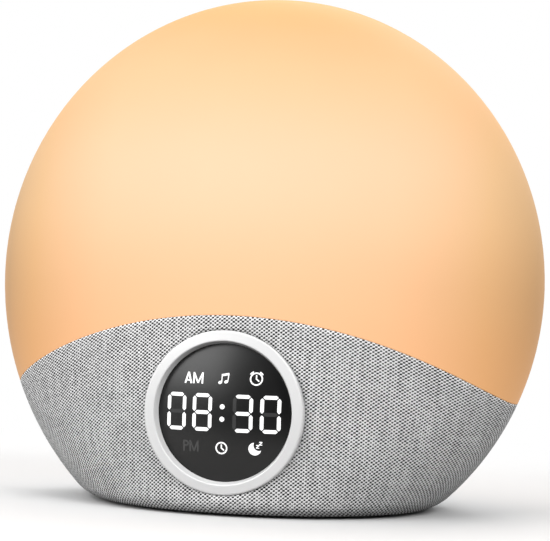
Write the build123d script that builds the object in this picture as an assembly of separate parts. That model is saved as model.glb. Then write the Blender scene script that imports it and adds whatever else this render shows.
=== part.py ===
from build123d import *
import os
from math import cos, radians, sin, sqrt, tan

# A sunrise alarm clock: a milk-white light dome on a cloth-covered base that holds
# a round digital display in front and a speaker and eight push buttons behind.
# Millimetres, +Z up, the table at z = 0, the display facing -Y.
# Every skin of the body is a "form": the same closed outer shape moved inwards.

# Body
HALF_WIDTH = 91.5
HALF_DEPTH = 49.0
CROWN = 93.5                # height of the dome above its widest section
FOOT_PROUD = 0.8
EQUATOR = FOOT_PROUD + 72.7     # height of the widest section above the table
EDGE_RADIUS = 4.0           # rounding of the lowest edge

# Parting line between dome and base: an arc seen from the front, straight front to back
PARTING_CROWN = 61.8
PARTING_RADIUS = 150.0

# Skins, given as insets of the outer form
DIFFUSER_WALL = 2.4
FABRIC_THICKNESS = 0.9
SHELL_OUTER = 1.0
SHELL_INNER = 3.4
TONGUE_OUTER = 2.5
TONGUE_HEIGHT = 3.0
LUG_WIDTH = 9.0
LUG_PLACES = (-48, 0, 48)

# Bottom plate, feet and the screws that hold the plate
PLATE_HALF_WIDTH = 50.0
PLATE_HALF_DEPTH = 41.0
PLATE_THICKNESS = 2.2
LEDGE_WIDTH = 6.0
LEDGE_TOP = 5.4
FOOT_RADIUS = 6.0
FOOT_X = 35.0
FOOT_Y = 19.0
FOOT_RECESS = 0.8
BASE_SCREW_X = 17.0
BASE_SCREW_Y = 33.5

# Round display, its depths measured back from the bezel's face
DISPLAY_HEIGHT = EQUATOR - 41.6
BEZEL_PROUD = 0.45
BEZEL_CREST = 0.3           # inner edge of the ring, in front of that face
BEZEL_FALL = 0.15           # outer edge, behind it
BEZEL_FLARE = 0.75          # the opening widens by this much from the lens to the front
BEZEL_RADIUS = 25.3
BEZEL_DEPTH = 4.05
BEZEL_SPIGOT_RADIUS = 24.4
BEZEL_BACK = 9.15
LENS_RADIUS = 21.25
LENS_FLANGE_RADIUS = 23.0
LENS_STEP = 2.41
LENS_DOME_RADIUS = 82.0
LENS_THICKNESS = 1.4
FILM_DEPTH = 4.0
FILM_THICKNESS = 0.25
LIGHT_BOX_DEPTH = 5.0
BOARD_THICKNESS = 1.6
DISPLAY_BOARD_RADIUS = 25.6
EAR_REACH = 28.0
EAR_ANGLES = (35, 145, 215, 325)

# Figures of the display
DIGIT_HEIGHT = 11.5
DIGIT_WIDTH = 6.26
DIGIT_PLACES = (-14.93, -6.44, 6.44, 14.93)
STROKE = 1.12
STROKE_GAP = 0.14
COLON_RISE = 1.9
COLON_RADIUS = 0.75
SIGN_ROW = 10.6
SIGN_RADIUS = 2.3
SIGN_PLACES = ((0, SIGN_ROW), (10.3, SIGN_ROW), (0, -SIGN_ROW), (10.3, -SIGN_ROW))
WORD_PLACES = ((-9.7, SIGN_ROW), (-9.7, -SIGN_ROW))
WORD_SIZE = (6.4, 3.6)

# Light tray and its board
TRAY_DROP = 2.0             # upper face below the parting surface
TRAY_THICKNESS = 2.2
TRAY_INSET = 3.9
TRAY_SCREW_X = 64.0
TRAY_SCREW_Y = 20.5
PLATFORM_SIZE = (88.0, 48.0)
PLATFORM_TOP = 61.4
LED_BOARD_SIZE = (80.0, 42.0)
LED_SIZE = 5.0
LED_PITCH = 12.4
LED_COLUMNS = 6
LED_ROWS = 3

# Rear panel
PANEL_HALF_WIDTH = 51.0
PANEL_BOTTOM = 8.5
PANEL_TOP = 52.0
PANEL_CORNER = 12.0
PANEL_WALL = 2.3
PANEL_LEDGE = 3.0
PANEL_CLEARANCE = 0.15
PANEL_SCREW_X = 44.0
PANEL_SCREW_HEIGHTS = (15.5, 45.0)
PANEL_PAD = 1.2             # plastic under the head of a panel screw
PANEL_BOSS = 7.0            # length of the boss in front of each pad

# Buttons: two rows of two on either side of the speaker
BUTTON_RADIUS = 4.2
BUTTON_BORE = 4.5
BUTTON_FLANGE = 5.2
BUTTON_PROUD = 1.0
BUTTON_TRAVEL = 0.5
BUTTON_COLUMNS = (26.0, 39.0)
BUTTON_ROWS = (24.5, 37.5)
BUTTON_FLANGE_BACK = (40.7, 36.2)
BUTTON_NAMES = {
    (-1, 0, 1): "light_up_button",
    (-1, 0, 0): "light_down_button",
    (-1, 1, 1): "alarm_one_button",
    (-1, 1, 0): "alarm_two_button",
    (1, 0, 1): "volume_up_button",
    (1, 0, 0): "volume_down_button",
    (1, 1, 1): "sound_button",
    (1, 1, 0): "time_set_button",
}
SWITCH_SIZE = 6.0
SWITCH_HEIGHT = 3.5
PLUNGER_RADIUS = 1.75
PLUNGER_RISE = 0.7
KEY_BOARD_FACE = 29.5
KEY_BOARD_X = 33.0
KEY_BOARD_SIZE = (22.0, 32.0)
KEY_BOARD_CORNER = 10.0     # clears the boss of the lower panel screw
KEY_BOARD_HEIGHT = 31.0
KEY_POST_RISE = 13.5

# Speaker
SPEAKER_HEIGHT = 34.0
SPEAKER_HALF = 15.0
SPEAKER_SEAT = 43.0
GASKET_THICKNESS = 0.8
GRILLE_RADIUS = 13.4
GRILLE_PITCH = 3.2
GRILLE_SLOT = 1.5
SPEAKER_HOLE = 12.8
MAGNET_RADIUS = 9.5

# Main board and power inlet
MAIN_BOARD_TOP = 9.5
MAIN_BOARD_SIZE = (64.0, 48.0)
MAIN_BOARD_Y = 3.0
MAIN_BOARD_TONGUE = (22.0, 11.0)
MAIN_SCREW_X = 28.5
MAIN_SCREW_YS = (-17.0, 23.0)
CELL_RADIUS = 10.0
CELL_PLACE = (-17.0, -3.0)
INLET_HEIGHT = 14.0
INLET_BLOCK = (9.0, 14.0, 9.0)
INLET_FRONT = 44.2
INLET_BORE = 2.9
INLET_BOSS = 6.2
INLET_PIN = 1.0

SCREW_SHANK = 1.25
SCREW_PILOT = 1.3
SCREW_HEAD = 2.6
SCREW_HEAD_HEIGHT = 1.5
SMALL_SCREW = (1.0, 2.1, 1.2)   # shank radius, head radius and head height
LEAD_RADIUS = 1.1

FRONT_FACE = -(HALF_DEPTH + BEZEL_PROUD)


# Shared shapes

def half_width(height):
    return HALF_WIDTH * sqrt(1 - ((height - EQUATOR) / CROWN) ** 2)


def body_form(inset):
    """The outer shape moved inwards: half an ellipsoid over a lofted, flat-bottomed base."""
    depth = HALF_DEPTH - inset
    ball = scale(Sphere(1), by=(HALF_WIDTH - inset, depth, CROWN - inset))
    dome = Pos(0, 0, EQUATOR) * split(ball, bisect_by=Plane.XY, keep=Keep.TOP)
    low = FOOT_PROUD + inset
    spans = 6
    heights = [low + (EQUATOR - low) * step / spans for step in range(spans + 1)]
    rings = [Plane.XY.offset(height) * Ellipse(half_width(height) - inset, depth) for height in heights]
    base = loft(rings)
    lowest_edge = base.edges().group_by(Axis.Z)[0]
    return dome + fillet(lowest_edge, max(EDGE_RADIUS - inset, 0.8))


def parting_drum(rise):
    """Everything below the parting surface moved up by rise."""
    drum = Cylinder(PARTING_RADIUS + rise, 4 * HALF_DEPTH)
    return Pos(0, 0, PARTING_CROWN - PARTING_RADIUS) * Rot(90, 0, 0) * drum


def along_y(shape, x, z, y):
    """Stand a shape built along +Z so that it runs along +Y from (x, y, z)."""
    return Pos(x, y, z) * Rot(-90, 0, 0) * shape


def rod_y(radius, x, z, y_from, y_to):
    rod = Cylinder(radius, y_to - y_from, align=(Align.CENTER, Align.CENTER, Align.MIN))
    return along_y(rod, x, z, y_from)


def rod_z(radius, x, y, z_from, z_to):
    rod = Cylinder(radius, z_to - z_from, align=(Align.CENTER, Align.CENTER, Align.MIN))
    return Pos(x, y, z_from) * rod


def block(x, y, z):
    """A box from three (low, high) pairs."""
    low = (x[0], y[0], z[0])
    size = (x[1] - x[0], y[1] - y[0], z[1] - z[0])
    return Pos(*low) * Box(*size, align=(Align.MIN, Align.MIN, Align.MIN))


def spin_y(profile, x, z, y):
    """Revolve a (radius, depth) outline about an axis along +Y that starts at (x, y, z)."""
    outline = make_face(Polyline(*profile, close=True))
    turned = revolve(Plane.XZ * outline, axis=Axis.Z)
    return along_y(turned, x, z, y)


def pan_screw(length, size=(SCREW_SHANK, SCREW_HEAD, SCREW_HEAD_HEIGHT)):
    """A self-tapping screw along +Z: the head's underside is at z = 0, the tip at -length."""
    shank_radius, head_radius, head_height = size
    head = Cylinder(head_radius, head_height, align=(Align.CENTER, Align.CENTER, Align.MIN))
    head = chamfer(head.edges().group_by(Axis.Z)[-1], 0.4 * head_height)
    shank = Cylinder(shank_radius, length, align=(Align.CENTER, Align.CENTER, Align.MAX))
    shank = chamfer(shank.edges().group_by(Axis.Z)[0], 0.5 * shank_radius)
    slots = Box(1.1 * head_radius, 0.6, 0.8 * head_height) + Box(0.6, 1.1 * head_radius, 0.8 * head_height)
    return head + shank - Pos(0, 0, head_height) * slots


def lead(points, radius=LEAD_RADIUS):
    """A round lead along straight runs that are joined by the widest arcs they allow."""
    corners = [Vector(*point) for point in points]
    radii = []
    for before, here, after in zip(corners, corners[1:], corners[2:]):
        turn = (here - before).get_angle(after - here)
        shorter = min((here - before).length, (after - here).length)
        radii.append(0.45 * shorter / tan(radians(turn / 2)))
    if len(radii) > 0:
        path = FilletPolyline(*points, radius=radii)
    else:
        path = Line(*points)
    start = Plane(origin=path @ 0, z_dir=path % 0)
    return sweep(start * Circle(radius), path=path)


def mirrored_pairs(x, y):
    return [(x * side_x, y * side_y) for side_x in (-1, 1) for side_y in (-1, 1)]


# Dome and base skins

def lug_places(width):
    return [Pos(x, 0, PARTING_CROWN) * Box(width, 4 * HALF_DEPTH, CROWN) for x in LUG_PLACES]


def make_diffuser_dome():
    """Blow-moulded dome with six snap lugs inside its rim."""
    dome = body_form(0) - body_form(DIFFUSER_WALL) - parting_drum(0.1)
    band = (body_form(DIFFUSER_WALL - 0.2) - body_form(SHELL_INNER - 0.1)) - parting_drum(0.9)
    band = band & parting_drum(2.1)
    for place in lug_places(LUG_WIDTH):
        dome += band & place
    return dome


def panel_outline(grow):
    """Rounded outline of the rear panel as a bar along +Y through the back wall."""
    width = 2 * (PANEL_HALF_WIDTH + grow)
    height = PANEL_TOP - PANEL_BOTTOM + 2 * grow
    sketch = RectangleRounded(width, height, PANEL_CORNER + grow)
    bar = extrude(sketch, amount=HALF_DEPTH)
    return along_y(bar, 0, (PANEL_TOP + PANEL_BOTTOM) / 2, HALF_DEPTH / 3)


def plate_column(shrink, z_from, z_to):
    sketch = Ellipse(PLATE_HALF_WIDTH - shrink, PLATE_HALF_DEPTH - shrink)
    return Pos(0, 0, z_from) * extrude(sketch, amount=z_to - z_from)


def make_fabric_cover():
    """Woven cover, glued round the base and tucked under its lower edge."""
    cover = (body_form(0) - body_form(FABRIC_THICKNESS)) & parting_drum(-0.1)
    cover -= rod_y(BEZEL_RADIUS + 0.1, 0, DISPLAY_HEIGHT, -2 * HALF_DEPTH, 0)
    cover -= panel_outline(PANEL_CLEARANCE)
    return cover - plate_column(-0.2, 0, LEDGE_TOP)


def base_screw_places():
    return mirrored_pairs(BASE_SCREW_X, BASE_SCREW_Y)


def panel_screw_places():
    return [(x, z) for x in (-PANEL_SCREW_X, PANEL_SCREW_X) for z in PANEL_SCREW_HEIGHTS]


def panel_screw_seat(z):
    """Depth of the flat bottom of a screw well: the head stays under the sloping skin."""
    reach = SCREW_HEAD + 0.3
    share = (PANEL_SCREW_X + reach) / half_width(z - reach)
    return HALF_DEPTH * sqrt(1 - share ** 2) - SCREW_HEAD_HEIGHT - 0.2


def ear_places():
    return [
        (EAR_REACH * cos(radians(angle)), DISPLAY_HEIGHT + EAR_REACH * sin(radians(angle)))
        for angle in EAR_ANGLES
    ]


def make_base_shell():
    """Moulded tub that carries the display, rear panel, light tray and bottom plate."""
    skin = body_form(SHELL_OUTER) & parting_drum(0)
    tongue = body_form(TONGUE_OUTER) & parting_drum(TONGUE_HEIGHT)
    inner = body_form(SHELL_INNER)
    shell = skin + tongue - inner

    tray_underside = -(TRAY_DROP + TRAY_THICKNESS)
    ledge = inner - body_form(SHELL_INNER + 3) - parting_drum(tray_underside - 2.5)
    additions = [ledge & parting_drum(tray_underside)]
    for x, y in mirrored_pairs(TRAY_SCREW_X, TRAY_SCREW_Y):
        pillar = rod_z(3.4, x, y, 24, PARTING_CROWN) & body_form(SHELL_OUTER + 0.5)
        additions.append(pillar & parting_drum(tray_underside))

    plate_ledge = plate_column(-2, FOOT_PROUD + PLATE_THICKNESS, LEDGE_TOP)
    additions.append(plate_ledge & body_form(SHELL_OUTER + 0.5))
    for x, y in base_screw_places():
        additions.append(rod_z(3.4, x, y, LEDGE_TOP - 1, 14))

    seat = rod_y(EAR_REACH - 0.5, 0, DISPLAY_HEIGHT, -HALF_DEPTH, FRONT_FACE + BEZEL_DEPTH + 3)
    additions.append(seat & body_form(SHELL_OUTER + 0.5) & parting_drum(tray_underside))
    board_front = FRONT_FACE + FILM_DEPTH + FILM_THICKNESS + LIGHT_BOX_DEPTH
    for x, z in ear_places():
        boss = rod_y(2.9, x, z, -HALF_DEPTH, board_front)
        additions.append(boss & body_form(SHELL_OUTER + 0.5))

    panel_ledge = (body_form(PANEL_WALL + 0.1) - body_form(SHELL_INNER + 1.4)) & panel_outline(1)
    additions.append(panel_ledge & parting_drum(tray_underside - 0.2))
    for x, z in panel_screw_places():
        pad = panel_screw_seat(z) - PANEL_PAD
        additions.append(rod_y(3.4, x, z, pad - PANEL_BOSS, pad))

    shell = shell + additions

    cuts = [
        plate_column(LEDGE_WIDTH, 0, LEDGE_TOP + 1),
        plate_column(-0.2, 0, FOOT_PROUD + PLATE_THICKNESS),
        rod_y(BEZEL_RADIUS + 0.2, 0, DISPLAY_HEIGHT, -2 * HALF_DEPTH, FRONT_FACE + BEZEL_DEPTH),
        rod_y(BEZEL_SPIGOT_RADIUS + 0.2, 0, DISPLAY_HEIGHT, -2 * HALF_DEPTH, -30),
        panel_outline(PANEL_CLEARANCE) - body_form(PANEL_WALL + 0.1),
    ]
    window = panel_outline(-PANEL_LEDGE)
    for x, z in panel_screw_places():
        pad = panel_screw_seat(z) - PANEL_PAD
        window -= rod_y(3.4, x, z, 0, pad)
        cuts.append(rod_y(3.9, x, z, pad, HALF_DEPTH) & body_form(PANEL_WALL + 0.1))
        cuts.append(rod_y(SCREW_PILOT, x, z, pad - 5.5, pad))
    cuts.append(window)
    width, depth, height = INLET_BLOCK
    half = width / 2 + 0.6
    notch = block((-half, half), (28, HALF_DEPTH), (MAIN_BOARD_TOP - 2.2, MAIN_BOARD_TOP + height + 0.6))
    notch += rod_y(INLET_BOSS + 0.4, 0, INLET_HEIGHT, 40, HALF_DEPTH)
    cuts.append(notch & body_form(PANEL_WALL + 0.1))
    for x, y in base_screw_places():
        cuts.append(rod_z(SCREW_PILOT, x, y, 0, 12.5))
    for x, y in mirrored_pairs(TRAY_SCREW_X, TRAY_SCREW_Y):
        cuts.append(rod_z(SCREW_PILOT, x, y, 30, PARTING_CROWN))
    for x, z in ear_places():
        cuts.append(rod_y(SCREW_PILOT, x, z, board_front - 5, board_front))
    band = (body_form(DIFFUSER_WALL - 0.4) - body_form(SHELL_INNER + 0.4)) - parting_drum(0.7)
    band = band & parting_drum(2.3)
    for place in lug_places(LUG_WIDTH + 1):
        cuts.append(band & place)
    return shell - cuts


# Bottom plate, feet and their screws

def make_bottom_plate():
    """Flat plate with foot recesses, vents, screw wells and standoffs for the main board."""
    top = FOOT_PROUD + PLATE_THICKNESS
    plate = plate_column(0, FOOT_PROUD, top)
    for x, y in mirrored_pairs(FOOT_X, FOOT_Y):
        plate -= rod_z(FOOT_RADIUS + 0.1, x, y, 0, FOOT_PROUD + FOOT_RECESS)
    rim = plate_column(LEDGE_WIDTH + 0.4, top, top + 2) - plate_column(LEDGE_WIDTH + 2, top, top + 2)
    plate += rim
    for x in (-MAIN_SCREW_X, MAIN_SCREW_X):
        for y in MAIN_SCREW_YS:
            plate += rod_z(2.8, x, y, top - 0.5, MAIN_BOARD_TOP - BOARD_THICKNESS)
            plate -= rod_z(SCREW_PILOT, x, y, top - 0.8, MAIN_BOARD_TOP)
    for x, y in base_screw_places():
        plate -= rod_z(SCREW_SHANK + 0.3, x, y, 0, top)
        plate -= rod_z(SCREW_HEAD + 0.3, x, y, 0, FOOT_PROUD + 1.1)
    vent = Pos(0, 0, FOOT_PROUD) * extrude(SlotOverall(22, 1.8), amount=2 * PLATE_THICKNESS)
    for row in range(5):
        plate -= Pos(0, 6 * (row - 2), -0.5) * vent
    return plate


def make_foot_pads():
    pad = Cylinder(FOOT_RADIUS, FOOT_PROUD + FOOT_RECESS, align=(Align.CENTER, Align.CENTER, Align.MIN))
    pad = fillet(pad.edges().group_by(Axis.Z)[0], 0.4)
    return [Pos(x, y, 0) * pad for x, y in mirrored_pairs(FOOT_X, FOOT_Y)]


def make_base_screws():
    flat_head = (SCREW_SHANK, SCREW_HEAD, 1.0)
    screw = Rot(180, 0, 0) * pan_screw(8, flat_head)
    return [Pos(x, y, FOOT_PROUD + 1.1) * screw for x, y in base_screw_places()]


# Round display

def make_display_bezel():
    """Ring with a coned, rounded face, a shoulder for the lens and a spigot through the shell."""
    lens_pocket = LENS_FLANGE_RADIUS + 0.2
    profile = [
        (LENS_RADIUS + BEZEL_FLARE, -BEZEL_CREST),
        (BEZEL_RADIUS, BEZEL_FALL),
        (BEZEL_RADIUS, BEZEL_DEPTH),
        (BEZEL_SPIGOT_RADIUS, BEZEL_DEPTH),
        (BEZEL_SPIGOT_RADIUS, BEZEL_BACK),
        (lens_pocket, BEZEL_BACK),
        (lens_pocket, LENS_STEP),
        (LENS_RADIUS, LENS_STEP),
    ]
    ring = spin_y(profile, 0, DISPLAY_HEIGHT, FRONT_FACE)
    brim = ring.edges().filter_by(GeomType.CIRCLE).sort_by(Axis.Y)[1]
    ring = fillet(brim, 0.7)
    crest = ring.edges().filter_by(GeomType.CIRCLE).sort_by(Axis.Y)[0]
    return fillet(crest, 0.4)


def lens_sag(radius):
    return sqrt(LENS_DOME_RADIUS ** 2 - radius ** 2)


def make_display_lens():
    """Domed smoked window with a flat flange that is clamped behind the bezel."""
    rim_radius = LENS_RADIUS - 0.15
    centre = LENS_STEP + lens_sag(rim_radius)
    ball = Pos(0, 0, centre) * Rot(90, 0, 0) * Sphere(LENS_DOME_RADIUS)
    core = Pos(0, 0, centre) * Rot(90, 0, 0) * Sphere(LENS_DOME_RADIUS - LENS_THICKNESS)
    dome = (ball - core) & Cylinder(rim_radius, 4 * LENS_STEP)
    flange_side = Pos(0, 0, LENS_STEP) * Circle(LENS_FLANGE_RADIUS)
    flange = extrude(flange_side, amount=FILM_DEPTH - LENS_STEP) - core
    lens = dome + flange
    return along_y(lens, 0, DISPLAY_HEIGHT, FRONT_FACE)


def make_segment_film():
    """Diffusing film that evens the light of the segments."""
    depth = FRONT_FACE + FILM_DEPTH
    return rod_y(LENS_FLANGE_RADIUS, 0, DISPLAY_HEIGHT, depth, depth + FILM_THICKNESS)


def segment_bar(length):
    """One mitred stroke along X."""
    half = length / 2 - STROKE_GAP
    tip = STROKE / 2
    upper = [(-half, 0), (tip - half, tip), (half - tip, tip)]
    lower = [(-x, -y) for x, y in upper]
    return make_face(Polyline(*upper, *lower, close=True))


def digit_segments():
    """The seven strokes of one figure, centred on it."""
    across = DIGIT_WIDTH - STROKE
    up = (DIGIT_HEIGHT - STROKE) / 2
    strokes = [Pos(0, level * up) * segment_bar(across) for level in (-1, 0, 1)]
    for side in (-0.5, 0.5):
        for level in (-0.5, 0.5):
            strokes.append(Pos(side * across, level * up) * Rot(0, 0, 90) * segment_bar(up))
    return strokes


def display_windows():
    """Every lit opening of the display, drawn in its own plane."""
    windows = [Pos(place, 0) * stroke for place in DIGIT_PLACES for stroke in digit_segments()]
    windows += [Pos(0, rise) * Circle(COLON_RADIUS) for rise in (-COLON_RISE, COLON_RISE)]
    windows += [Pos(x, y) * Circle(SIGN_RADIUS) for x, y in SIGN_PLACES]
    windows += [Pos(x, y) * Rectangle(*WORD_SIZE) for x, y in WORD_PLACES]
    return windows


def on_display(shape, depth):
    """Stand a shape drawn on the display's plane at a depth behind the bezel's face."""
    return Pos(0, FRONT_FACE + depth, DISPLAY_HEIGHT) * Rot(90, 0, 0) * shape


def make_display_light_box():
    """Black block with one open light well for every stroke and sign."""
    front = FILM_DEPTH + FILM_THICKNESS
    plate = extrude(Circle(LENS_FLANGE_RADIUS), amount=-LIGHT_BOX_DEPTH)
    wells = [extrude(window, amount=-LIGHT_BOX_DEPTH) for window in display_windows()]
    return on_display(plate - wells, front)


def make_display_leds():
    """One small chip in every light well."""
    chip = Box(0.9, 0.8, 0.5, align=(Align.CENTER, Align.CENTER, Align.MIN))
    back = FILM_DEPTH + FILM_THICKNESS + LIGHT_BOX_DEPTH
    return [on_display(Pos(window.center()) * chip, back) for window in display_windows()]


def make_display_board():
    front = FRONT_FACE + FILM_DEPTH + FILM_THICKNESS + LIGHT_BOX_DEPTH
    board = rod_y(DISPLAY_BOARD_RADIUS, 0, DISPLAY_HEIGHT, front, front + BOARD_THICKNESS)
    for x, z in ear_places():
        board += rod_y(3.2, x, z, front, front + BOARD_THICKNESS)
        board -= rod_y(SCREW_SHANK + 0.2, x, z, front, front + BOARD_THICKNESS)
    return board


def make_display_board_parts():
    """Segment driver and cable socket on the back of the display board."""
    back = FRONT_FACE + FILM_DEPTH + FILM_THICKNESS + LIGHT_BOX_DEPTH + BOARD_THICKNESS
    driver = block((-4, 4), (back, back + 1.4), (DISPLAY_HEIGHT + 2, DISPLAY_HEIGHT + 10))
    socket = block((-7, 7), (back, back + 3), (DISPLAY_HEIGHT - 12, DISPLAY_HEIGHT - 7))
    return [driver, socket]


def make_display_screws():
    back = FRONT_FACE + FILM_DEPTH + FILM_THICKNESS + LIGHT_BOX_DEPTH + BOARD_THICKNESS
    return [along_y(pan_screw(5.5), x, z, back) for x, z in ear_places()]


# Light tray and LED board

def make_light_tray():
    """White arched tray that closes the base and throws the light up into the dome."""
    form = body_form(TRAY_INSET)
    tray = form & parting_drum(-TRAY_DROP)
    tray -= parting_drum(-TRAY_DROP - TRAY_THICKNESS)
    rim = (form - body_form(TRAY_INSET + 1.6)) & parting_drum(TONGUE_HEIGHT)
    tray += rim - parting_drum(-TRAY_DROP)
    half_x = PLATFORM_SIZE[0] / 2
    half_y = PLATFORM_SIZE[1] / 2
    platform = block((-half_x, half_x), (-half_y, half_y), (0, PLATFORM_TOP))
    platform = fillet(platform.edges().filter_by(Axis.Z), 6)
    hollow = block((2 - half_x, half_x - 2), (2 - half_y, half_y - 2), (0, PLATFORM_TOP - 1.8))
    tray += platform - parting_drum(-TRAY_DROP - 0.5)
    tray -= hollow & parting_drum(0)
    for x, y in led_screw_places():
        post = rod_z(2.8, x, y, PLATFORM_TOP - 6, PLATFORM_TOP - 1)
        tray += post
        tray -= rod_z(SCREW_PILOT, x, y, PLATFORM_TOP - 5, PLATFORM_TOP)
    for x, y in mirrored_pairs(TRAY_SCREW_X, TRAY_SCREW_Y):
        top = tray_pad_top()
        tray += rod_z(3.4, x, y, top - 4, top) - parting_drum(-TRAY_DROP - TRAY_THICKNESS)
        tray -= rod_z(SCREW_SHANK + 0.3, x, y, top - 12, top + 6)
        tray -= rod_z(SCREW_HEAD + 0.4, x, y, top, top + 6)
    return tray - rod_z(2.4, 0, LED_BOARD_SIZE[1] / 2 - 4, 40, PLATFORM_TOP)


def tray_pad_top():
    """Height of the flat pads that the tray's screws sit on."""
    arc_centre = PARTING_CROWN - PARTING_RADIUS
    return arc_centre + sqrt((PARTING_RADIUS - TRAY_DROP) ** 2 - TRAY_SCREW_X ** 2)


def led_screw_places():
    return mirrored_pairs(LED_BOARD_SIZE[0] / 2 - 3.5, LED_BOARD_SIZE[1] / 2 - 3.5)


def make_tray_screws():
    places = mirrored_pairs(TRAY_SCREW_X, TRAY_SCREW_Y)
    return [Pos(x, y, tray_pad_top()) * pan_screw(10) for x, y in places]


def make_led_board():
    sketch = RectangleRounded(*LED_BOARD_SIZE, 3)
    board = Pos(0, 0, PLATFORM_TOP) * extrude(sketch, amount=BOARD_THICKNESS)
    for x, y in led_screw_places():
        board -= rod_z(SCREW_SHANK + 0.2, x, y, PLATFORM_TOP, PLATFORM_TOP + BOARD_THICKNESS)
    return board - rod_z(2.4, 0, LED_BOARD_SIZE[1] / 2 - 4, 40, PLATFORM_TOP + BOARD_THICKNESS)


def make_led_chips():
    top = PLATFORM_TOP + BOARD_THICKNESS
    package = Box(LED_SIZE, LED_SIZE, 1.6, align=(Align.CENTER, Align.CENTER, Align.MIN))
    lamp = Cylinder(2.0, 0.6, align=(Align.CENTER, Align.CENTER, Align.MIN))
    chip = package - Pos(0, 0, 1.2) * lamp
    chips = []
    for column in range(LED_COLUMNS):
        for row in range(LED_ROWS):
            x = LED_PITCH * (column - (LED_COLUMNS - 1) / 2)
            y = LED_PITCH * (row - (LED_ROWS - 1) / 2)
            chips.append(Pos(x, y, top) * chip)
    return chips


def make_led_screws():
    return [Pos(x, y, PLATFORM_TOP + BOARD_THICKNESS) * pan_screw(5) for x, y in led_screw_places()]


# Rear panel, buttons and their boards

def button_places():
    """Centre and flange plane of every button, by name."""
    places = {}
    for (side, column, row), name in BUTTON_NAMES.items():
        places[name] = (side * BUTTON_COLUMNS[column], BUTTON_ROWS[row], BUTTON_FLANGE_BACK[column])
    return places


def grille_slots():
    rows = int(GRILLE_RADIUS // GRILLE_PITCH)
    slots = []
    for row in range(-rows, rows + 1):
        offset = row * GRILLE_PITCH
        length = 2 * sqrt(GRILLE_RADIUS ** 2 - offset ** 2)
        bar = extrude(SlotOverall(length, GRILLE_SLOT, rotation=0), amount=HALF_DEPTH)
        slots.append(along_y(bar, 0, SPEAKER_HEIGHT + offset, 2 * HALF_DEPTH / 3))
    return slots


def key_post_places():
    heights = (KEY_BOARD_HEIGHT - KEY_POST_RISE, KEY_BOARD_HEIGHT + KEY_POST_RISE)
    return [(x, z) for x in (-KEY_BOARD_X, KEY_BOARD_X) for z in heights]


def speaker_screw_places():
    reach = SPEAKER_HALF - 2.2
    return [(x, SPEAKER_HEIGHT + z) for x, z in mirrored_pairs(reach, reach)]


def make_rear_panel():
    """Curved panel, flush with the cloth, with the grille, button bores and inlet opening."""
    inner = body_form(PANEL_WALL)
    panel = (body_form(0) - inner) & panel_outline(0)
    additions = []
    half = SPEAKER_HALF
    seat = block((-half, half), (SPEAKER_SEAT, HALF_DEPTH), (SPEAKER_HEIGHT - half, SPEAKER_HEIGHT + half))
    additions.append((seat - rod_y(GRILLE_RADIUS + 0.8, 0, SPEAKER_HEIGHT, 0, HALF_DEPTH)) & inner)
    for x, z in key_post_places():
        additions.append(rod_y(2.6, x, z, KEY_BOARD_FACE, HALF_DEPTH) & inner)
    inlet_boss = rod_y(INLET_BOSS, 0, INLET_HEIGHT, INLET_FRONT + 0.2, HALF_DEPTH) & inner
    additions.append(inlet_boss & panel_outline(0))
    for x, z in panel_screw_places():
        pad = rod_y(3.6, x, z, panel_screw_seat(z) - PANEL_PAD, HALF_DEPTH) & inner
        additions.append(pad & panel_outline(0))
    panel = panel + additions
    cuts = grille_slots()
    cuts.append(rod_y(4.6, 0, INLET_HEIGHT, INLET_FRONT - 1, 2 * HALF_DEPTH))
    for x, z, flange_back in button_places().values():
        cuts.append(rod_y(BUTTON_BORE, x, z, flange_back, 2 * HALF_DEPTH))
    for x, z in key_post_places():
        cuts.append(rod_y(SCREW_PILOT, x, z, KEY_BOARD_FACE, KEY_BOARD_FACE + 4.5))
    for x, z in speaker_screw_places():
        cuts.append(rod_y(SCREW_PILOT, x, z, SPEAKER_SEAT, SPEAKER_SEAT + 2.6))
    for x, z in panel_screw_places():
        cuts.append(rod_y(SCREW_SHANK + 0.3, x, z, 30, HALF_DEPTH))
        cuts.append(rod_y(SCREW_HEAD + 0.3, x, z, panel_screw_seat(z), HALF_DEPTH))
    return panel - cuts


def make_panel_screws():
    return [along_y(pan_screw(6), x, z, panel_screw_seat(z)) for x, z in panel_screw_places()]


def make_button(x, z, flange_back):
    """Cap that follows the back's curve, a flange behind the panel and a stem to the switch."""
    cap = rod_y(BUTTON_RADIUS, x, z, flange_back, HALF_DEPTH + 5) & body_form(-BUTTON_PROUD)
    rim = cap.edges().group_by(Axis.Y)[-1]
    cap = fillet(rim, 0.4)
    flange = rod_y(BUTTON_FLANGE, x, z, flange_back, HALF_DEPTH) & body_form(PANEL_WALL + 0.4)
    stem_end = KEY_BOARD_FACE + SWITCH_HEIGHT + PLUNGER_RISE + 0.1 + BUTTON_TRAVEL
    return cap + flange + rod_y(1.6, x, z, stem_end, flange_back)


def make_key_board(side):
    sketch = RectangleRounded(*KEY_BOARD_SIZE, KEY_BOARD_CORNER)
    board = extrude(sketch, amount=-BOARD_THICKNESS)
    board = along_y(board, side * KEY_BOARD_X, KEY_BOARD_HEIGHT, KEY_BOARD_FACE)
    for x, z in key_post_places():
        board -= rod_y(SCREW_SHANK + 0.2, x, z, 0, KEY_BOARD_FACE)
    return board


def make_key_switches():
    """Square tact switches, one under every button stem."""
    half = SWITCH_SIZE / 2
    top = KEY_BOARD_FACE + SWITCH_HEIGHT
    switches = []
    for x, z, flange_back in button_places().values():
        body = block((x - half, x + half), (KEY_BOARD_FACE, top), (z - half, z + half))
        switches.append(body + rod_y(PLUNGER_RADIUS, x, z, top, top + PLUNGER_RISE))
    return switches


def make_key_board_screws():
    seat = KEY_BOARD_FACE - BOARD_THICKNESS
    return [Pos(x, seat, z) * Rot(90, 0, 0) * pan_screw(5.5) for x, z in key_post_places()]


# Speaker

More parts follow.
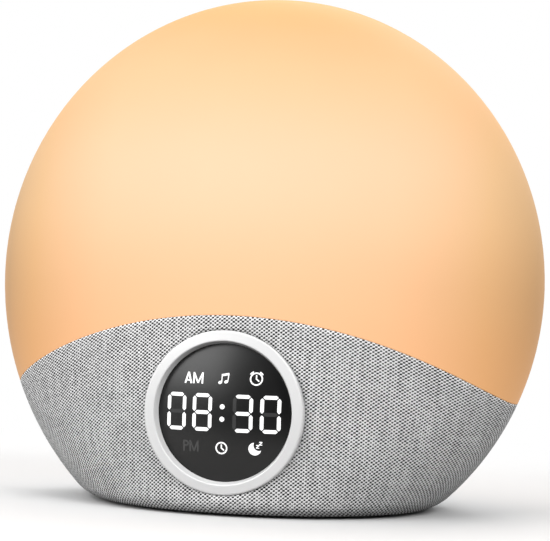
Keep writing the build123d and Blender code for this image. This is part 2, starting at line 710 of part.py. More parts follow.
def speaker_plate(y_from, y_to, hole):
    half = SPEAKER_HALF - 0.2
    plate = block((-half, half), (y_from, y_to), (SPEAKER_HEIGHT - half, SPEAKER_HEIGHT + half))
    plate = fillet(plate.edges().filter_by(Axis.Y), 3)
    plate -= rod_y(hole, 0, SPEAKER_HEIGHT, 0, HALF_DEPTH)
    for x, z in speaker_screw_places():
        plate -= rod_y(SCREW_SHANK + 0.2, x, z, 0, HALF_DEPTH)
    return plate


def make_speaker_gasket():
    return speaker_plate(SPEAKER_SEAT - GASKET_THICKNESS, SPEAKER_SEAT, SPEAKER_HOLE + 0.5)


def make_speaker_frame():
    """Pressed basket: square flange and a conical pot with four windows."""
    front = SPEAKER_SEAT - GASKET_THICKNESS
    frame = speaker_plate(front - 1, front, SPEAKER_HOLE)
    mouth = [(SPEAKER_HOLE, 0), (SPEAKER_HOLE + 1.2, 0)]
    basket = mouth + [(8.2, -7.2), (8.2, -9.0), (0, -9.0), (0, -8.0), (7.2, -8.0)]
    pot = spin_y(basket, 0, SPEAKER_HEIGHT, front - 0.8)
    for angle in (0, 90, 180, 270):
        window = Pos(9.5, 0, -4.4) * Box(9, 6, 3.4)
        pot -= along_y(Rot(0, 0, angle) * window, 0, SPEAKER_HEIGHT, front)
    return frame + pot


def make_speaker_cone():
    """Paper cone with a rolled surround and a dust cap, 0.5 thick."""
    front = SPEAKER_SEAT - GASKET_THICKNESS - 0.6
    inside = [(12.6, 0), (10.6, 0), (4.6, -3.6), (0, -2.2)]
    outside = [(0, -2.7), (4.6, -4.2), (10.6, -0.7), (12.6, -0.5)]
    return spin_y(inside + outside, 0, SPEAKER_HEIGHT, front)


def make_speaker_magnet():
    back = SPEAKER_SEAT - GASKET_THICKNESS - 9.8
    magnet = rod_y(MAGNET_RADIUS, 0, SPEAKER_HEIGHT, back - 5, back)
    return fillet(magnet.edges(), 0.5)


def make_speaker_screws():
    seat = SPEAKER_SEAT - GASKET_THICKNESS - 1
    screw = Rot(90, 0, 0) * pan_screw(3.4, SMALL_SCREW)
    return [Pos(x, seat, z) * screw for x, z in speaker_screw_places()]


def make_grille_cloth():
    """Acoustic cloth behind the grille slots."""
    return rod_y(GRILLE_RADIUS + 0.6, 0, SPEAKER_HEIGHT, SPEAKER_SEAT + 0.3, SPEAKER_SEAT + 0.7)


# Main board

def make_main_board():
    low = MAIN_BOARD_TOP - BOARD_THICKNESS
    half_x = MAIN_BOARD_SIZE[0] / 2
    half_y = MAIN_BOARD_SIZE[1] / 2
    rear = MAIN_BOARD_Y + half_y
    board = block((-half_x, half_x), (MAIN_BOARD_Y - half_y, rear), (low, MAIN_BOARD_TOP))
    tongue = MAIN_BOARD_TONGUE[0] / 2
    board += block((-tongue, tongue), (rear, rear + MAIN_BOARD_TONGUE[1]), (low, MAIN_BOARD_TOP))
    for x in (-MAIN_SCREW_X, MAIN_SCREW_X):
        for y in MAIN_SCREW_YS:
            board -= rod_z(SCREW_SHANK + 0.2, x, y, low, MAIN_BOARD_TOP)
    return board


def make_main_board_screws():
    places = [(x, y) for x in (-MAIN_SCREW_X, MAIN_SCREW_X) for y in MAIN_SCREW_YS]
    return [Pos(x, y, MAIN_BOARD_TOP) * pan_screw(6) for x, y in places]


def on_main_board(x, y, size_x, size_y, height):
    body = Box(size_x, size_y, height, align=(Align.CENTER, Align.CENTER, Align.MIN))
    return Pos(x, y, MAIN_BOARD_TOP) * body


def make_main_board_parts():
    """Processor, memory, amplifier, coil, two capacitors and the clock crystal."""
    parts = [
        on_main_board(10, -8, 10, 10, 1.4),
        on_main_board(22, -9, 5, 6, 1.6),
        on_main_board(-12, 18, 6, 5, 1.5),
        on_main_board(4, 17, 7, 7, 4),
        on_main_board(10, 2, 7, 2.4, 2),
    ]
    for y in (8, 17):
        parts.append(rod_z(3.2, 20, y, MAIN_BOARD_TOP, MAIN_BOARD_TOP + 7.7))
    return parts


def make_board_sockets():
    """Plug sockets of the internal leads: display, lamp, speaker and the two key boards."""
    return [
        on_main_board(0, -17, 14, 5, 3),
        on_main_board(0, 9.5, 7, 5, 5),
        on_main_board(-22, 22.5, 6, 5, 5),
        on_main_board(-29, 13, 4.5, 7, 5),
        on_main_board(29, 13, 4.5, 7, 5),
    ]


def make_cell_holder():
    """Open clip that keeps the back-up cell for the clock."""
    x, y = CELL_PLACE
    holder = on_main_board(x, y, 2 * CELL_RADIUS + 2, 2 * CELL_RADIUS + 2, 5)
    holder = fillet(holder.edges().filter_by(Axis.Z), 3)
    holder -= rod_z(CELL_RADIUS + 0.2, x, y, MAIN_BOARD_TOP + 1, MAIN_BOARD_TOP + 6)
    return holder - on_main_board(x, y - CELL_RADIUS - 1, 12, 6, 6)


def make_coin_cell():
    x, y = CELL_PLACE
    cell = rod_z(CELL_RADIUS, x, y, MAIN_BOARD_TOP + 1, MAIN_BOARD_TOP + 4.2)
    return fillet(cell.edges(), 0.5)


def make_power_inlet():
    """Barrel socket at the rear edge of the main board, with its centre pin."""
    size_x, size_y, size_z = INLET_BLOCK
    rear = INLET_FRONT
    top = MAIN_BOARD_TOP + size_z
    body = block((-size_x / 2, size_x / 2), (rear - size_y, rear), (MAIN_BOARD_TOP, top))
    body -= rod_y(INLET_BORE, 0, INLET_HEIGHT, rear - 10, rear)
    return body + rod_y(INLET_PIN, 0, INLET_HEIGHT, rear - 11, rear - 1.5)


# Internal leads

def make_lamp_lead():
    """From the main board straight up through the tray to the LED board."""
    y = LED_BOARD_SIZE[1] / 2 - 4
    low = MAIN_BOARD_TOP + 5
    return lead([(0, 9.5, low), (0, 9.5, 30), (0, y, 46), (0, y, PLATFORM_TOP + BOARD_THICKNESS)])


def make_speaker_lead():
    low = MAIN_BOARD_TOP + 5
    return lead([(-22, 22.5, low), (-22, 22.5, 24), (-18, 26, 32), (-11, 31, SPEAKER_HEIGHT)])


def make_key_lead(side):
    low = MAIN_BOARD_TOP + 5
    board_back = KEY_BOARD_FACE - BOARD_THICKNESS
    points = [(29, 13, low), (29, 13, 24), (KEY_BOARD_X, 20, 31), (KEY_BOARD_X, board_back, 31)]
    return lead([(side * x, y, z) for x, y, z in points])


def make_display_ribbon():
    """Flat cable from the display board back and down to the main board."""
    back = FRONT_FACE + FILM_DEPTH + FILM_THICKNESS + LIGHT_BOX_DEPTH + BOARD_THICKNESS
    height = DISPLAY_HEIGHT - 9.5
    low = MAIN_BOARD_TOP + 3
    path = FilletPolyline((0, back + 3, height), (0, -17, height), (0, -17, low), radius=4)
    section = Plane(origin=path @ 0, x_dir=(1, 0, 0), z_dir=path % 0) * Rectangle(10, 0.8)
    return sweep(section, path=path)


pieces = {
    "diffuser_dome": make_diffuser_dome(),
    "base_shell": make_base_shell(),
    "fabric_cover": make_fabric_cover(),
    "bottom_plate": make_bottom_plate(),
    "foot_pads": make_foot_pads(),
    "base_screws": make_base_screws(),
    "display_bezel": make_display_bezel(),
    "display_lens": make_display_lens(),
    "segment_film": make_segment_film(),
    "display_light_box": make_display_light_box(),
    "display_leds": make_display_leds(),
    "display_board": make_display_board(),
    "display_board_parts": make_display_board_parts(),
    "display_screws": make_display_screws(),
    "light_tray": make_light_tray(),
    "tray_screws": make_tray_screws(),
    "led_board": make_led_board(),
    "led_chips": make_led_chips(),
    "led_screws": make_led_screws(),
    "rear_panel": make_rear_panel(),
    "panel_screws": make_panel_screws(),
    "left_key_board": make_key_board(-1),
    "right_key_board": make_key_board(1),
    "key_switches": make_key_switches(),
    "key_board_screws": make_key_board_screws(),
    "grille_cloth": make_grille_cloth(),
    "speaker_gasket": make_speaker_gasket(),
    "speaker_frame": make_speaker_frame(),
    "speaker_cone": make_speaker_cone(),
    "speaker_magnet": make_speaker_magnet(),
    "speaker_screws": make_speaker_screws(),
    "main_board": make_main_board(),
    "main_board_screws": make_main_board_screws(),
    "main_board_parts": make_main_board_parts(),
    "board_sockets": make_board_sockets(),
    "cell_holder": make_cell_holder(),
    "coin_cell": make_coin_cell(),
    "power_inlet": make_power_inlet(),
    "lamp_lead": make_lamp_lead(),
    "speaker_lead": make_speaker_lead(),
    "left_key_lead": make_key_lead(-1),
    "right_key_lead": make_key_lead(1),
    "display_ribbon": make_display_ribbon(),
}
for name, (x, z, flange_back) in button_places().items():
    pieces[name] = make_button(x, z, flange_back)

os.makedirs("parts", exist_ok=True)
for name, piece in pieces.items():
    if isinstance(piece, list):
        piece = Compound(children=piece)
    export_step(piece, os.path.join("parts", name + ".step"))
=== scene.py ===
"""A sunrise alarm clock: a glowing milk-white dome on a cloth-covered base with a round display.

The sections go from the camera, the table and the lamps to the clock's outside, and then to the
parts inside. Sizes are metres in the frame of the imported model, +Z up and the display facing -Y; only
the figures and signs are drawn in millimetres, on the display's plane.
"""

import math

import bpy
import numpy as np
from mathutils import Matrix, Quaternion, Vector


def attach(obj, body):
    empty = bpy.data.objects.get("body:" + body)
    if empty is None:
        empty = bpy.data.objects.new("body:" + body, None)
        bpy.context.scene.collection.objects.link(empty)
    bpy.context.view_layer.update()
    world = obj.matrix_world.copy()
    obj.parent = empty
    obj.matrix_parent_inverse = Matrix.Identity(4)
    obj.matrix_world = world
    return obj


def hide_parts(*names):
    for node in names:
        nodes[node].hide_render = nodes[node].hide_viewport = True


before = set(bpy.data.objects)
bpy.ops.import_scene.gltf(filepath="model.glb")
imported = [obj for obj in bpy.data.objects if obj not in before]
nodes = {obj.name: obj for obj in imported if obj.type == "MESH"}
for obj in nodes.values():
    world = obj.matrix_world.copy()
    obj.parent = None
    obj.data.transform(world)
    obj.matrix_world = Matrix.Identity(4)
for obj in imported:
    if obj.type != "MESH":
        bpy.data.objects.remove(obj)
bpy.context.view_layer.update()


# Camera
# Stands 0.6 m away, a little to the right of the display and level with the seam under the dome.

turn, rise, roll = math.radians(14.7), math.radians(-1.15), math.radians(1.78)
aim, distance = Vector((0, 0, 0.0735)), 0.6
backwards = Vector((math.sin(turn) * math.cos(rise), -math.cos(turn) * math.cos(rise), math.sin(rise)))
camera = bpy.data.objects.new("camera", bpy.data.cameras.new("camera"))
bpy.context.scene.collection.objects.link(camera)
bpy.context.scene.camera = camera
camera.data.lens = 118.1
camera.data.shift_x = 0.01364
camera.data.shift_y = 0.01964
camera.data.clip_start = 0.01
camera.location = aim + distance * backwards
camera.rotation_mode = "QUATERNION"
camera.rotation_quaternion = (-backwards).to_track_quat("-Z", "Y") @ Quaternion((0, 0, 1), roll)
bpy.context.scene.view_settings.view_transform = "Standard"


# Table
# A pale, matt, flat table that fades into the white background. It only keeps the shadow.

class Value:
    """A shader socket to reckon with: every operator adds one Math node and gives its result."""

    def __init__(self, finish, socket):
        self.finish = finish
        self.socket = socket

    def __add__(self, other):
        return self.finish.math("ADD", self, other)

    __radd__ = __add__

    def __sub__(self, other):
        return self.finish.math("SUBTRACT", self, other)

    def __rsub__(self, other):
        return self.finish.math("SUBTRACT", other, self)

    def __mul__(self, other):
        return self.finish.math("MULTIPLY", self, other)

    __rmul__ = __mul__

    def __truediv__(self, other):
        return self.finish.math("DIVIDE", self, other)

    def __pow__(self, other):
        return self.finish.math("POWER", self, other)

    def __abs__(self):
        return self.finish.math("ABSOLUTE", self)


class Finish:
    """A material, or the surroundings, while its nodes are joined."""

    def __init__(self, name, library=bpy.data.materials):
        self.made = library.new(name)
        self.made.use_nodes = True
        self.tree = self.made.node_tree
        self.tree.nodes.clear()

    def node(self, kind, settings=None, sockets=None, out=0):
        """Add a shader node: its settings first, then the values or links of its sockets."""
        made = self.tree.nodes.new("ShaderNode" + kind)
        for name, value in (settings or {}).items():
            if name == "stops":
                ramp = made.color_ramp
                while len(ramp.elements) < len(value):
                    ramp.elements.new(0.5)
                for stop, (place, colour) in zip(ramp.elements, value):
                    stop.position = place
                    stop.color = (*colour, 1)
            elif name == "ease":
                made.color_ramp.interpolation = value
            else:
                setattr(made, name, value)
        for name, value in (sockets or {}).items():
            if isinstance(value, Value):
                self.tree.links.new(value.socket, made.inputs[name])
            else:
                made.inputs[name].default_value = value
        return None if out is None else Value(self, made.outputs[out])

    def math(self, operation, *values):
        return self.node("Math", {"operation": operation}, dict(enumerate(values)))

    def mix(self, share, first, second):
        """Colour first where share is 0 and second where it is 1."""
        sockets = {0: share}
        for socket, colour in ((6, first), (7, second)):
            sockets[socket] = colour if isinstance(colour, Value) else (*colour, 1)
        return self.node("Mix", {"data_type": "RGBA"}, sockets, out=2)

    def place(self):
        """Object coordinates, in metres."""
        return self.node("TexCoord", out="Object")

    def axes(self, place):
        """The x, y and z of a place, each a value."""
        split = self.node("SeparateXYZ", sockets={0: place})
        return [Value(self, socket) for socket in split.socket.node.outputs]

    def rise(self, value, start, stop):
        """From 0 to 1 with soft ends while a value goes from start to stop."""
        return self.node("MapRange", {"interpolation_type": "SMOOTHSTEP"},
                         {"Value": value, "From Min": start, "From Max": stop})

    def noise(self, place, size, detail):
        """Soft blotches of about that size in metres, from 0 to 1."""
        return self.node("TexNoise", sockets={"Vector": place, "Scale": 1 / size, "Detail": detail})

    def relief(self, height, depth):
        """A normal bent by a height from 0 to 1 that stands for a depth in metres."""
        return self.node("Bump", sockets={"Height": height, "Distance": depth, "Strength": 1.0})

    def close(self, shader, output="OutputMaterial"):
        """Join a shader to the output and give what was made."""
        self.node(output, sockets={0: shader}, out=None)
        return self.made

    def seen(self):
        """1 where the camera sees a thing directly or through glass, and 0 elsewhere."""
        return self.math("MAXIMUM", self.node("LightPath", out="Is Camera Ray"),
                         self.node("LightPath", out="Is Transmission Ray"))

    def principled(self, **sockets):
        """The main shader; a colour may be three numbers, and _ in a name stands for a space."""
        named = {}
        for name, value in sockets.items():
            if isinstance(value, tuple) and name.endswith("Color"):
                value = (*value, 1)
            named[name.replace("_", " ")] = value
        return self.node("BsdfPrincipled", sockets=named)


def skin(name, points, keep=None, uv=None):
    """A mesh from a grid of points: every cell between four neighbours is one face.

    keep tells for each cell whether it is made; uv gives each point its place in the pattern.
    """
    points = np.asarray(points, float)
    rows, columns = points.shape[:2]
    index = np.arange(rows * columns).reshape(rows, columns)
    cells = np.stack([index[:-1, :-1], index[:-1, 1:], index[1:, 1:], index[1:, :-1]], axis=-1)
    cells = cells.reshape(-1, 4) if keep is None else cells[keep]
    used, cells = np.unique(cells, return_inverse=True)
    cells = cells.reshape(-1, 4)
    mesh = bpy.data.meshes.new(name)
    mesh.from_pydata(points.reshape(-1, 3)[used].tolist(), [], cells.tolist())
    if uv is not None:
        layer = mesh.uv_layers.new(name="yarns")
        layer.data.foreach_set("uv", np.asarray(uv, float).reshape(-1, 2)[used][cells.ravel()].ravel())
    mesh.polygons.foreach_set("use_smooth", np.ones(len(cells), bool))
    mesh.update()
    made = bpy.data.objects.new(name, mesh)
    bpy.context.scene.collection.objects.link(made)
    return made


def dim_side(finish, x, y, start, stop):
    """From 0 to 1 while a place goes on towards the dim side, 30 degrees right of straight ahead."""
    return finish.rise(0.5 * x - 0.866 * y, start, stop)


def table_finish():
    """Matt white that keeps the shadow near the clock and runs out to the white of the background.

    The shadow ends between 0.16 and 0.34 m from the clock's middle. In reflections the table is dim
    on the side where the camera stands.
    """
    finish = Finish("table_paint")
    x, y, _ = finish.axes(finish.place())
    away = finish.rise(finish.math("SQRT", x * x + y * y), 0.16, 0.34)
    mirrored = finish.node("LightPath", out="Is Glossy Ray")
    seen = finish.math("MAXIMUM", finish.seen(), mirrored)
    tone = finish.mix(seen, (0.15, 0.15, 0.15), (0.71, 0.71, 0.71))
    matt = finish.node("BsdfDiffuse", sockets={"Color": tone})
    white = finish.node("Emission", sockets={"Color": (1, 1, 1, 1), "Strength": 1.0})
    paint = finish.node("MixShader", sockets={0: away * seen, 1: matt, 2: white})
    dim = dim_side(finish, x, y, 0.09, 0.20) * mirrored
    shade = finish.node("Emission", sockets={"Color": (1, 1, 1, 1), "Strength": 0.1})
    return finish.close(finish.node("MixShader", sockets={0: dim, 1: paint, 2: shade}))


TABLE_HALF = 6
marks = np.linspace(-TABLE_HALF, TABLE_HALF, 3)
across, along = np.meshgrid(marks, marks)
table = skin("table", np.stack([across, along, 0 * across], axis=-1))
table.data.materials.append(table_finish())


# Lamps
# Four soft boxes: behind, upper left, left front and, weaker, right front; and an even surrounding.
# Reflections show it nearly white but for the dim side where the camera stands.

def soft_box(name, place, aim_at, width, height, power):
    """A rectangular lamp at place, turned towards aim_at."""
    lamp = bpy.data.lights.new(name, "AREA")
    lamp.shape = "RECTANGLE"
    lamp.size = width
    lamp.size_y = height
    lamp.energy = power
    made = bpy.data.objects.new(name, lamp)
    bpy.context.scene.collection.objects.link(made)
    made.location = place
    made.rotation_mode = "QUATERNION"
    made.rotation_quaternion = (Vector(aim_at) - Vector(place)).to_track_quat("-Z", "Y")


soft_box("back_box", (0.10, 0.62, 1.08), (0, 0, 0.05), 0.9, 0.9, 6.8)
soft_box("top_box", (-0.60, -0.02, 1.08), (0, 0, 0.05), 0.9, 0.9, 6.2)
soft_box("left_box", (-0.70, -0.90, 0.62), (0, 0, 0.06), 1.0, 0.85, 11.3)
soft_box("right_box", (0.82, -0.62, 0.70), (0, 0, 0.06), 0.6, 0.6, 9)


def air():
    """White where it is seen, dimmer as light, and dim on the camera's side in reflections."""
    finish = Finish("surroundings", bpy.data.worlds)
    x, y, _ = finish.axes(finish.node("TexCoord", out="Generated"))
    dim = dim_side(finish, x, y, 0.55, 0.97)
    mirrored = finish.mix(dim, (0.88, 0.88, 0.88), (0.10, 0.10, 0.10))
    unseen = finish.mix(finish.node("LightPath", out="Is Glossy Ray"), (0.34, 0.34, 0.34), mirrored)
    tone = finish.mix(finish.seen(), unseen, (1, 1, 1))
    return finish.close(finish.node("Background", sockets={"Color": tone}), "OutputWorld")


bpy.context.scene.world = air()


# Light dome
# Blow-moulded milk-white plastic, lit from inside by the warm lamps on the tray. It glows palest
# half way up, above the lamps; towards its two ends it glows deeper and dimmer, which is painted shade.

HALF_WIDTH, HEIGHT = 0.0915, 0.167
GLOW_MIDDLE = 0.003                                 # the glow lies this far right of the middle
# Painted shade: low on the dome, its left and right ends are dimmer.
LOW_FROM, LOW_TO = 0.095, 0.065                     # going down between them, the ends turn dimmer


def dress(material, *names):
    """Give a finish to CAD nodes."""
    for name in names:
        nodes[name].data.materials.clear()
        nodes[name].data.materials.append(material)


def dome_finish():
    """Warm light over satin plastic: its colour goes by height, and painted shade sinks and reddens it at
    the ends.
    """
    finish = Finish("milk_white_dome")
    place = finish.place()
    x, _, z = finish.axes(place)
    glow = finish.node("ValToRGB", {"ease": "B_SPLINE", "stops": [
        (0.30, (0.95, 0.480, 0.240)), (0.38, (0.95, 0.510, 0.268)), (0.48, (0.95, 0.545, 0.310)),
        (0.57, (0.95, 0.590, 0.370)), (0.66, (0.95, 0.605, 0.395)), (0.75, (0.93, 0.550, 0.320)),
        (0.84, (0.88, 0.490, 0.240)), (0.90, (0.84, 0.420, 0.180)), (0.95, (0.80, 0.355, 0.100)),
        (1.00, (0.78, 0.330, 0.060)),
    ]}, {0: z / HEIGHT})
    aside = (x - GLOW_MIDDLE) / HALF_WIDTH
    low = finish.rise(-1 * z, -LOW_FROM, -LOW_TO)
    facing = finish.math("SQRT", finish.math("MAXIMUM", 1 - aside * aside, 0.0))
    # Painted shade: towards the left and right ends, where the dome turns away from the front, the glow
    # sinks and turns duller.
    fall = finish.node("ValToRGB", {"stops": [
        (0.00, (0.47, 0.40, 0.26)), (0.31, (0.50, 0.47, 0.34)), (0.60, (0.76, 0.72, 0.54)),
        (0.87, (0.96, 0.94, 0.90)), (1.00, (1.00, 1.00, 1.00)),
    ]}, {0: facing})
    lit = finish.node("VectorMath", {"operation": "MULTIPLY"}, {0: glow, 1: fall})
    mottle = finish.noise(place, 0.03, 3)
    # Painted shade: lower down, the ends are dimmer still.
    strength = (0.985 + 0.03 * mottle) * (1 - 0.14 * low * aside * aside)
    lit = finish.node("VectorMath", {"operation": "SCALE"}, {0: lit, "Scale": strength})
    grain = finish.noise(place, 0.0006, 1)
    return finish.close(finish.principled(
        Base_Color=finish.mix(mottle, (0.158, 0.119, 0.075), (0.168, 0.127, 0.079)),
        Roughness=0.55 + 0.05 * grain,
        Specular_IOR_Level=0.2,
        Normal=finish.relief(grain, 0.000008),
        Emission_Color=lit,
        Emission_Strength=1.0,
    ))


dress(dome_finish(), "diffuser_dome")


# Cloth cover
# A coarse plain weave of white and charcoal yarn, stretched round the base, glued to the shell and
# turned under its lower edge. Its rows arch with the seam under the dome.

HALF_DEPTH = 0.049
EQUATOR, CROWN = 0.0735, 0.0935                     # height of the widest place; the top above it
LOWEST, EDGE_ROUND = 0.0008, 0.004
SEAM_TOP, SEAM_RADIUS, SEAM_GAP = 0.0618, 0.15, 0.0001
WALL_END, ROUND_END = 0.90, 0.96                    # shares of the way from the seam to the hem
HEM_HALF_WIDTH, HEM_HALF_DEPTH = 0.0504, 0.0414
YARN_ACROSS, YARN_UP = 0.00074, 0.00057
WEAVE_HALF_WIDTH = 0.083                            # half width where the columns keep their pitch
END_SHARE = 0.55                                    # share of columns left round the pulled ends
ROW_LEAN = 0.085
CLOTH_THICKNESS = 0.0008
DISPLAY_HEIGHT, HOLE_RADIUS = 0.0319, 0.0254
PANEL_MIDDLE, PANEL_CORNER = 0.03025, 0.01215
PANEL_HALF_WIDTH, PANEL_HALF_HEIGHT = 0.05115, 0.0219


def half_width(height):
    """Half the body's width at a height, as the side of an ellipse."""
    return HALF_WIDTH * np.sqrt(1 - ((height - EQUATOR) / CROWN) ** 2)


def seam_height(x):
    """The cover's upper edge: an arc seen from the front, a small gap under the dome's rim."""
    return SEAM_TOP - SEAM_RADIUS + np.sqrt((SEAM_RADIUS - SEAM_GAP) ** 2 - x ** 2)


def cover_points(angle, down):
    """The cover's outside: angle goes round from the front, down from the seam (0) to the hem (1).

    The wall follows the body's ellipse at each height; below it comes a quarter round, and then a
    flat ring that ends at the bottom plate. The seam's height depends on the width there, and the
    width on the height, so it is found in twelve turns.
    """
    low = LOWEST + EDGE_ROUND
    top = np.full_like(angle, 0.05)
    for _ in range(12):
        top = seam_height(half_width(top) * np.sin(angle))
    wall = np.clip(down / WALL_END, 0, 1)
    curl = np.clip((down - WALL_END) / (ROUND_END - WALL_END), 0, 1) * np.pi / 2
    under = np.clip((down - ROUND_END) / (1 - ROUND_END), 0, 1)
    height = top + (low - top) * wall
    inset = EDGE_ROUND * (1 - np.cos(curl))
    height = height - EDGE_ROUND * np.sin(curl)
    a = half_width(height) - inset
    b = HALF_DEPTH - inset
    a = a + (HEM_HALF_WIDTH - a) * under
    b = b + (HEM_HALF_DEPTH - b) * under
    return np.stack([a * np.sin(angle), -b * np.cos(angle), height], axis=-1)


def yarn_places(points, angle):
    """Where a point of the cover lies in the weave, counted in yarns across and rows up.

    Columns run straight up; round the ends they are spread as the cloth is pulled. Rows drop with
    the seam, less so lower down, and lean a little.
    """
    x, z = points[..., 0], points[..., 2]
    width = half_width(np.maximum(z, 0.002))        # the tuck keeps the width 2 mm up
    turns = np.linspace(-np.pi, np.pi, 721)
    step = np.hypot(WEAVE_HALF_WIDTH * np.cos(turns), END_SHARE * HALF_DEPTH * np.sin(turns))
    reach = np.concatenate([[0], np.cumsum((step[1:] + step[:-1]) / 2 * np.diff(turns))])
    reach = reach - reach[len(turns) // 2]
    front = np.cos(angle) > 0
    share = np.clip(x / width, -1, 1)
    turn_at = np.where(front, np.arcsin(share), np.where(angle > 0, np.pi, -np.pi) - np.arcsin(share))
    round_about = np.interp(turn_at, turns, reach)
    size = width / WEAVE_HALF_WIDTH
    columns = round_about * (1 + (size - 1) * np.cos(np.clip(turn_at, -np.pi / 2, np.pi / 2)))
    level = z / SEAM_TOP
    fall = SEAM_RADIUS - np.sqrt(SEAM_RADIUS ** 2 - x ** 2)
    arching = 0.338 - 0.079 * level + 0.432 * level ** 2
    rows = z + arching * fall - ROW_LEAN * x
    return np.stack([columns / YARN_ACROSS, rows / YARN_UP], axis=-1)


def cover_finish():
    """Two-tone plain weave: cells are white yarn or charcoal yarn by turns, each cell a pillow."""
    finish = Finish("woven_cover_yarn")
    weave = finish.node("UVMap", {"uv_map": "yarns"})
    across, up, _ = finish.axes(weave)
    wander = finish.noise(weave, 9.0, 2) - 0.5
    across = across + 0.5 * wander
    up = up + 0.4 * wander
    ridge = finish.math("SINE", across * math.pi) * finish.math("SINE", up * math.pi)
    cell = finish.node("CombineXYZ", sockets={0: finish.math("FLOOR", across), 1: finish.math("FLOOR", up)})
    luck = finish.node("TexWhiteNoise", {"noise_dimensions": "2D"}, {"Vector": cell})
    patch = finish.noise(weave, 26.0, 3)
    fibre = finish.noise(weave, 0.22, 2)
    lean = finish.math("COSINE", (across - up) * math.pi)
    upright = finish.noise(finish.node("CombineXYZ", sockets={0: across, 1: 0.04 * up}), 1.3, 1) - 0.5
    level = finish.noise(finish.node("CombineXYZ", sockets={0: 0.04 * across, 1: up}), 1.3, 1) - 0.5
    share = 0.88 + 3.6 * ridge + 0.2 * lean + 0.8 * (luck - 0.5) + 2.0 * upright + 1.0 * level
    share = finish.math("MINIMUM", finish.math("MAXIMUM", share, 0.0), 1.0)
    dark = finish.mix(luck, (0.014, 0.014, 0.015), (0.050, 0.050, 0.052))
    light = finish.mix(patch, (0.84, 0.84, 0.84), (0.98, 0.98, 0.98))
    pillow = abs(ridge) ** 0.5
    return finish.close(finish.principled(
        Base_Color=finish.mix(share, dark, light),
        Roughness=0.86 + 0.08 * fibre,
        Specular_IOR_Level=0.25,
        Sheen_Weight=0.12,
        Sheen_Roughness=0.5,
        Normal=finish.relief(pillow + 0.25 * fibre, 0.00012),
    ))


def past_corner_centres(x, z):
    """How far a place lies past the corner centres of the rear opening: sideways, and up or down."""
    side = np.abs(x) - (PANEL_HALF_WIDTH - PANEL_CORNER)
    end = np.abs(z - PANEL_MIDDLE) - (PANEL_HALF_HEIGHT - PANEL_CORNER)
    return side, end


def clear_of_openings(points):
    """Distance outside the display's hole in front or the panel's opening behind; below 0 inside."""
    x, y, z = points[..., 0], points[..., 1], points[..., 2]
    from_hole = np.hypot(x, z - DISPLAY_HEIGHT) - HOLE_RADIUS
    side, end = past_corner_centres(x, z)
    corner = np.hypot(np.maximum(side, 0), np.maximum(end, 0))
    from_panel = corner + np.minimum(np.maximum(side, end), 0) - PANEL_CORNER
    return np.where(y < 0, from_hole, from_panel)


def drawn_to_outline(points):
    """Each point moved along the wall to the nearest place on the outline of its opening."""
    x, y, z = points[..., 0], points[..., 1], points[..., 2]
    radius = np.hypot(x, z - DISPLAY_HEIGHT)
    ring_x = x / radius * HOLE_RADIUS
    ring_z = DISPLAY_HEIGHT + (z - DISPLAY_HEIGHT) / radius * HOLE_RADIUS
    side, end = past_corner_centres(x, z)
    out_x, out_z = np.maximum(side, 0), np.maximum(end, 0)
    length = np.maximum(np.hypot(out_x, out_z), 1e-9)
    at_corner, at_side = (side > 0) & (end > 0), side > end
    corner_x = PANEL_HALF_WIDTH - PANEL_CORNER + PANEL_CORNER * out_x / length
    corner_z = PANEL_HALF_HEIGHT - PANEL_CORNER + PANEL_CORNER * out_z / length
    straight_x = np.where(at_side, PANEL_HALF_WIDTH, np.abs(x))
    straight_z = np.where(at_side, np.abs(z - PANEL_MIDDLE), PANEL_HALF_HEIGHT)
    panel_x = np.where(at_corner, corner_x, straight_x) * np.sign(x)
    panel_z = PANEL_MIDDLE + np.where(at_corner, corner_z, straight_z) * np.sign(z - PANEL_MIDDLE)
    new_x = np.where(y < 0, ring_x, panel_x)
    new_z = np.where(y < 0, ring_z, panel_z)
    share = np.clip(new_x / half_width(new_z), -1, 1)
    new_y = np.sign(y) * HALF_DEPTH * np.sqrt(1 - share ** 2)
    return np.stack([new_x, new_y, new_z], axis=-1)


def cloth_cover():
    """The cover as one strip, joined behind, with the display's hole and the rear panel's opening.

    Cells inside an opening are left out, and the points next to it are drawn on to its outline.
    """
    angle, down = np.meshgrid(np.linspace(-np.pi, np.pi, 361), np.concatenate([
        np.linspace(0, WALL_END, 49)[:-1],
        np.linspace(WALL_END, ROUND_END, 7)[:-1],
        np.linspace(ROUND_END, 1, 5),
    ]))
    points = cover_points(angle, down)
    clear = clear_of_openings(points)
    open_cell = (clear[:-1, :-1] + clear[:-1, 1:] + clear[1:, 1:] + clear[1:, :-1]) / 4 < 0
    kept = ~open_cell
    touches_kept = np.zeros_like(clear, bool)
    touches_open = np.zeros_like(clear, bool)
    for rows in (slice(0, -1), slice(1, None)):
        for columns in (slice(0, -1), slice(1, None)):
            touches_kept[rows, columns] |= kept
            touches_open[rows, columns] |= open_cell
    edge = touches_kept & touches_open
    for _ in range(4):
        points = np.where(edge[..., None], drawn_to_outline(points), points)
    return skin("cloth_cover", points[:, ::-1], keep=kept[:, ::-1], uv=yarn_places(points, angle)[:, ::-1])


cover = cloth_cover()
cover.data.materials.append(cover_finish())
wall = cover.modifiers.new("thickness", "SOLIDIFY")
wall.thickness = CLOTH_THICKNESS
wall.offset = -1
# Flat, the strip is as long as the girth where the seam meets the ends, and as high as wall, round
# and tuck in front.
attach(cover, "clock")
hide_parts("fabric_cover")


# Moulded pieces
# Injection-moulded plastic with the fine spark texture of its mould, a little uneven in gloss.

